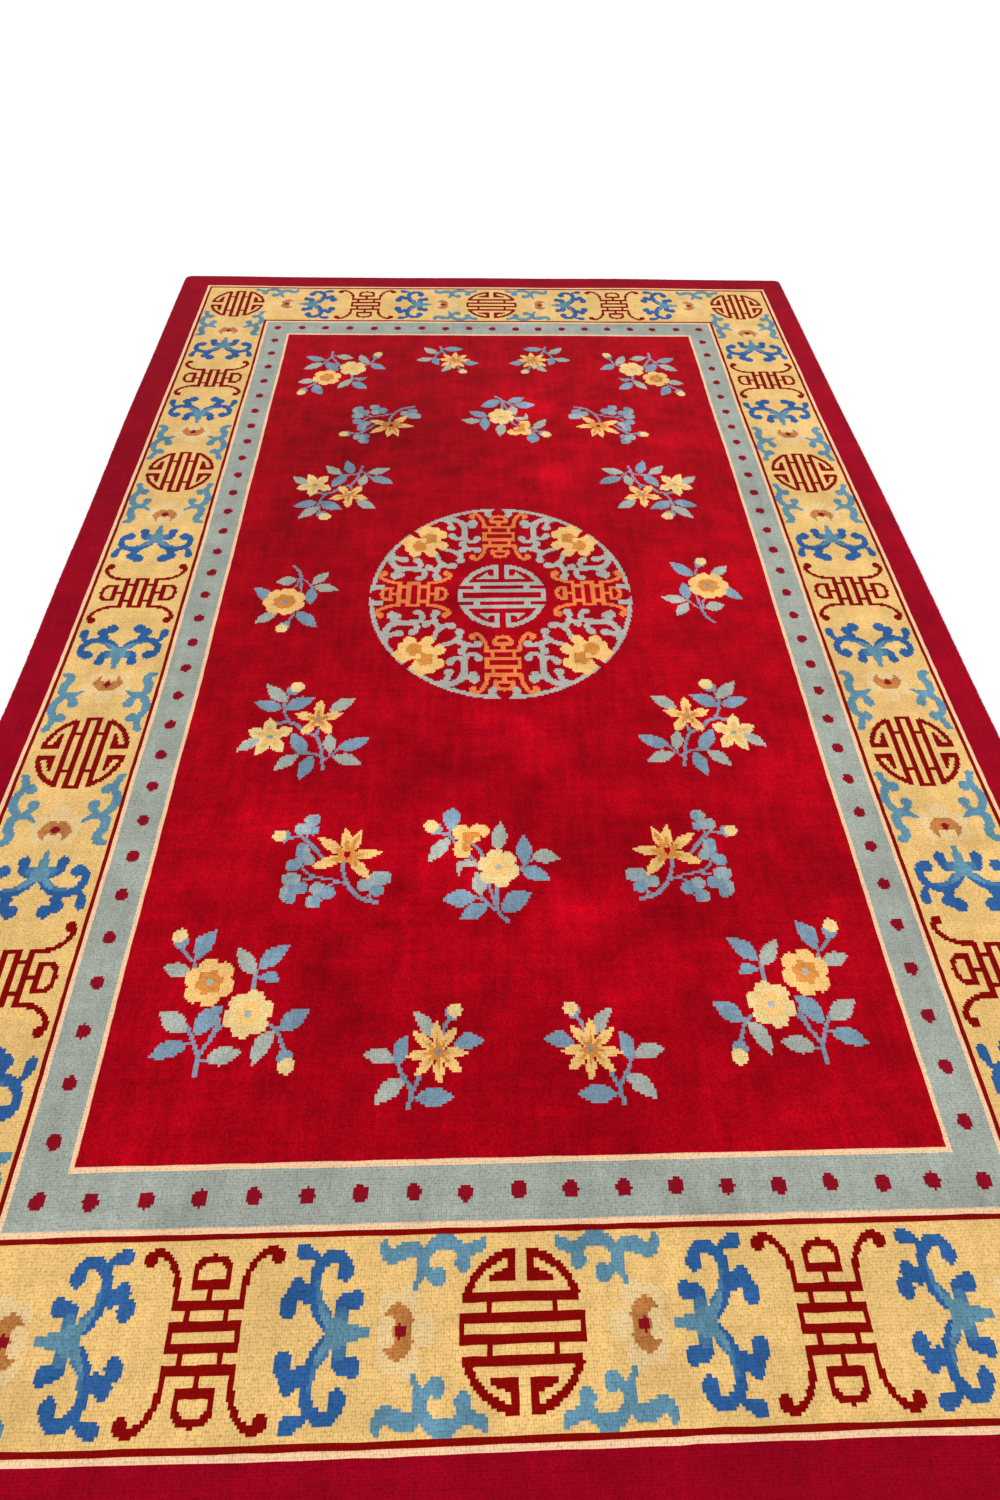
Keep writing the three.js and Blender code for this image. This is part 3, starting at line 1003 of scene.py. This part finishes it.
class Nodes:
    """Short ways to add and join a material's nodes."""

    def __init__(self, name):
        self.material = bpy.data.materials.new(name)
        self.material.use_nodes = True
        self.tree = self.material.node_tree
        self.shader = self.tree.nodes["Principled BSDF"]
        self.place = self.add("TexCoord").outputs["Object"]

    def add(self, kind, inputs=None, **settings):
        node = self.tree.nodes.new("ShaderNode" + kind)
        for key, value in settings.items():
            setattr(node, key, value)
        for key, value in (inputs or {}).items():
            if isinstance(value, bpy.types.NodeSocket):
                self.tree.links.new(value, node.inputs[key])
            else:
                node.inputs[key].default_value = value
        return node

    def carried(self, name):
        """What the mesh carries under a name."""
        return self.add("Attribute", attribute_name=name, attribute_type="GEOMETRY").outputs

    def maths(self, operation, *values):
        return self.add("Math", dict(enumerate(values)), operation=operation).outputs[0]

    def vector(self, operation, first, second):
        return self.add("VectorMath", {0: first, 1: second}, operation=operation).outputs[0]

    def scaled(self, vector, share):
        return self.add("VectorMath", {0: vector, "Scale": share}, operation="SCALE").outputs[0]

    def noise(self, scale, detail, roughness=0.5, stretch=(1, 1, 1)):
        """Noise over the place on the rug."""
        place = self.vector("MULTIPLY", self.place, stretch)
        inputs = {"Vector": place, "Scale": scale, "Detail": detail, "Roughness": roughness}
        return self.add("TexNoise", inputs).outputs[0]

    def swung(self, base, noises, table):
        """A base value swung by each noise as strongly as its table says."""
        for key, noise in noises.items():
            base = self.maths("MULTIPLY_ADD", self.maths("SUBTRACT", noise, 0.5), table[key][-1], base)
        return base

    def spread(self, value, low, high, to_low, to_high):
        inputs = {"Value": value, "From Min": low, "From Max": high, "To Min": to_low, "To Max": to_high}
        return self.add("MapRange", inputs).outputs["Result"]

    def finished(self, colour, constants, bump=None):
        """The material, its shader's colour, relief and constant values set."""
        self.tree.links.new(colour, self.shader.inputs["Base Color"])
        if bump:
            height, depth = bump
            relief = self.add("Bump", {"Height": height, "Strength": 0.6, "Distance": depth})
            self.tree.links.new(relief.outputs["Normal"], self.shader.inputs["Normal"])
        for socket, value in constants.items():
            self.shader.inputs[socket].default_value = value
        return self.material


def wool(name, sheen, knot_depth):
    """Knotted wool: each knot its own tint and tuft, with painted shade in the gaps between tufts and
    painted light and shade in patches where the pile leans.
    """
    n = Nodes(name)
    yarn = n.carried("yarn")
    knots = n.carried("knots")["Vector"]

    def noises(table):
        return {key: n.noise(*kind, stretch=stretch) for key, (stretch, *kind, _) in table.items()}

    cell = n.vector("FLOOR", knots, (0, 0, 0))
    each = n.add("TexWhiteNoise", {"Vector": cell}, noise_dimensions="3D").outputs["Value"]
    tint = n.spread(each, 0, 1, 0.85, 1.15)
    clouds = noises(LEAN_LIGHT_NOISE)
    # Painted light and shade where the pile leans: the mesh's broad places, swung by cloudy noise
    lean_light = n.maths("MULTIPLY", n.carried("lean_light")["Fac"], n.spread(clouds["cloud"], 0.3, 0.7, 0.2, 1.8))
    lean_light = n.swung(n.maths("ADD", lean_light, 1.0), clouds, LEAN_LIGHT_NOISE)
    fine = n.swung(1.0, noises(FINE_NOISE), FINE_NOISE)
    fibre = n.spread(n.noise(900, 2.0, 0.7), 0.25, 0.75, 0.88, 1.12)
    shade = n.maths("MULTIPLY", n.maths("MULTIPLY", tint, fine), n.maths("MULTIPLY", lean_light, fibre))
    shade = n.maths("MULTIPLY_ADD", n.maths("SUBTRACT", shade, 1.0), yarn["Alpha"], 1.0)
    dots = {"Vector": knots, "Scale": 1.0, "Randomness": 0.45}
    tufts = n.add("TexVoronoi", dots, feature="F1", voronoi_dimensions="2D").outputs["Distance"]
    # Painted shade: darker in the gaps between tufts, where the relief is lower
    shade = n.maths("MULTIPLY", shade, n.spread(tufts, 0.3, 0.75, 1.06, 0.64))
    height = n.maths("MULTIPLY_ADD", tufts, -1.0, n.maths("MULTIPLY", n.noise(1400, 2.0, 0.8), 0.5))
    constants = {
        "Roughness": 0.95,
        "Specular IOR Level": 0.02,
        "Sheen Weight": sheen,
        "Sheen Roughness": 0.45,
        "Sheen Tint": (1.0, 0.6, 0.65, 1.0),
    }
    return n.finished(n.scaled(yarn["Color"], shade), constants, (height, knot_depth))


def cotton(name, thread_depth):
    """Plain cotton weave with rows of the knots' backs, painted shade in the grooves between rows and
    threads, and its rim overcast in red wool.
    """
    n = Nodes(name)
    across = n.add("SeparateXYZ", {"Vector": n.carried("knots")["Vector"]}).outputs
    row = n.maths("PINGPONG", across["Y"], 0.5)
    thread = n.maths("PINGPONG", across["X"], 0.5)
    # Painted shade: darker in the grooves between rows and threads, where the relief is lower
    weave = n.maths("MULTIPLY", n.spread(row, 0, 0.3, 0.55, 1.0), n.spread(thread, 0, 0.25, 0.75, 1.0))
    shade = n.maths("MULTIPLY", weave, n.spread(n.noise(30, 4.0), 0.3, 0.7, 0.88, 1.08))
    height = n.add("SeparateXYZ", {"Vector": n.place}).outputs["Z"]
    red = n.vector("SUBTRACT", n.carried("yarn")["Color"], BACK_COLOUR)
    red = n.scaled(red, n.spread(height, *OVERCAST_FROM, 0.0, 1.0))
    colour = n.scaled(n.vector("ADD", red, BACK_COLOUR), shade)
    return n.finished(colour, {"Roughness": 0.92, "Specular IOR Level": 0.2}, (weave, thread_depth))


def floor_material():
    """A matt pale floor, very slightly uneven."""
    n = Nodes("pale_floor")
    shade = n.spread(n.noise(3.0, 4.0), 0.3, 0.7, 0.93, 0.96)
    colour = n.add("CombineColor", {"Red": shade, "Green": shade, "Blue": shade}).outputs["Color"]
    return n.finished(colour, {"Roughness": 0.8, "Specular IOR Level": 0.2})


# The camera, in metres from the medallion and in degrees, at the photograph's angle
CAMERA_PLACE = (-0.0413 + AXIS_ACROSS * MM, -1.0829, 1.0734 + PILE_TOP)
CAMERA_PITCH = 57.04
CAMERA_YAW = -2.65
CAMERA_ROLL = 1.67
LONG_SIDE = 1500
FOCAL_PIXELS = 717.2
FILM = 36.0
FARTHEST = 200

FLOOR_HALF = 60.0

# Studio light: even light from all round, and a broad lamp on the left
WORLD_STRENGTH = 0.9
SUN_STRENGTH = 1.25
SUN_SPREAD = 25
SUN_FROM = (-1.0, -0.45, 0.95)


def add_camera():
    """Stands at the near end and looks down along the rug."""
    camera = placed("camera", bpy.data.cameras.new("camera"))
    camera.data.sensor_width = FILM
    camera.data.lens = FOCAL_PIXELS / LONG_SIDE * FILM
    camera.data.clip_end = FARTHEST
    camera.matrix_world = Matrix.Translation(CAMERA_PLACE)
    for angle, axis in ((CAMERA_YAW, "Z"), (90 - CAMERA_PITCH, "X"), (CAMERA_ROLL, "Z")):
        camera.matrix_world = camera.matrix_world @ Matrix.Rotation(math.radians(angle), 4, axis)
    bpy.context.scene.camera = camera


def add_sun():
    """A large soft lamp from the left, high up, so that the floor is lit evenly."""
    light = bpy.data.lights.new("sun", "SUN")
    light.energy = SUN_STRENGTH
    light.angle = math.radians(SUN_SPREAD)
    lamp = placed("sun", light)
    lamp.rotation_euler = (-Vector(SUN_FROM)).to_track_quat("-Z", "Y").to_euler()


def add_floor():
    """The plain floor, wide enough to fill the view."""
    mesh = bpy.data.meshes.new("floor")
    corners = [(u * FLOOR_HALF, v * FLOOR_HALF, 0) for u, v in ((-1, -1), (1, -1), (1, 1), (-1, 1))]
    mesh.from_pydata(corners, [], [(0, 1, 2, 3)])
    mesh.materials.append(floor_material())
    floor = placed("floor", mesh)


def add_world():
    """Even white light from all round."""
    world = bpy.data.worlds.new("studio")
    bpy.context.scene.world = world
    world.use_nodes = True
    background = world.node_tree.nodes["Background"]
    background.inputs["Color"].default_value = (1, 1, 1, 1)
    background.inputs["Strength"].default_value = WORLD_STRENGTH


# The rug's pile in five lengthwise strips, by their columns
STRIPS = {
    "pile_left_border": (0, 106, "wool_pile_pattern"),
    "pile_field_left": (106, 223, "wool_pile_red"),
    "pile_field_middle": (223, 339, "wool_pile_red"),
    "pile_field_right": (339, 456, "wool_pile_red"),
    "pile_right_border": (456, 562, "wool_pile_pattern"),
}
SEED = 7

rng = np.random.default_rng(SEED)
chart = draw_chart(rng)
stray = rng.uniform(-KNOT_STRAY, KNOT_STRAY, (2, ROWS + 1, COLUMNS + 1))
tuft = rng.uniform(-RIM_STRAY, RIM_STRAY, (ROWS + 1, COLUMNS + 1))
found = {name: patches(chart, first, last) for name, (first, last, _) in STRIPS.items()}
layout = (chart, corners_used(found.values()), tuft)
surface = surface_points(*PILE_RIM[0], stray)
underside = surface_points(*BACK_RIM[0], stray)

pile_wool = wool("knotted_wool_pile", sheen=0.05, knot_depth=0.0009)
backing = cotton("woven_cotton_back", thread_depth=0.0006)
pieces = [
    closed_sheet(name, pile_wool, found[name], surface, PILE_RIM, layout, MAP_PARTS)
    for name, (_, _, slot) in STRIPS.items()
]
whole = [(0, COLUMNS, 0, ROWS, YARN_NAMES.index("edge"))]
ground = closed_sheet(
    "rug_foundation", backing, whole, underside, BACK_RIM, layout, turned_over=True
)
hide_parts("rug")

add_camera()
add_floor()
add_world()
add_sun()
bpy.context.scene.view_settings.view_transform = "Standard"
